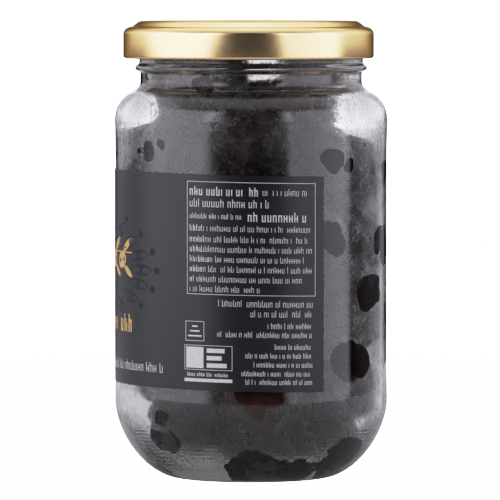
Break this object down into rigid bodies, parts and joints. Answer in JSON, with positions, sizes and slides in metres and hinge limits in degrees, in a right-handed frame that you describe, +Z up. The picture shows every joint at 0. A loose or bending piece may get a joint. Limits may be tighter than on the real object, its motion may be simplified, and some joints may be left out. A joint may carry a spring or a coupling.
{
  "type": "jar of olives",
  "caption": "Straight-sided clear glass jar packed dry with wrinkled black olives, closed by a gold twist-off lid, with a dark wrap label that leaves the glass bare on one side.",
  "frame": {"origin": "On the jar's axis, in the plane that it stands on.", "axes": "+Z is up along the jar's axis, -Y is the front of the label, +X is to the right as seen from the front, where the label ends."},
  "size_m": [0.0748, 0.0748, 0.1252],
  "materials": {
    "glass": "clear flint glass, polished, with mould lines",
    "gold_lid": "gold lacquer on tinplate, satin gloss",
    "label_film": "charcoal satin film with a pale and gold print",
    "olive_skin": "wrinkled, oily, near black skin"
  },
  "bodies": {
    "root": {"jar_glass": "glass", "lid": "gold_lid", "label": "label_film", "olives": "olive_skin"}
  },
  "joints": []
}
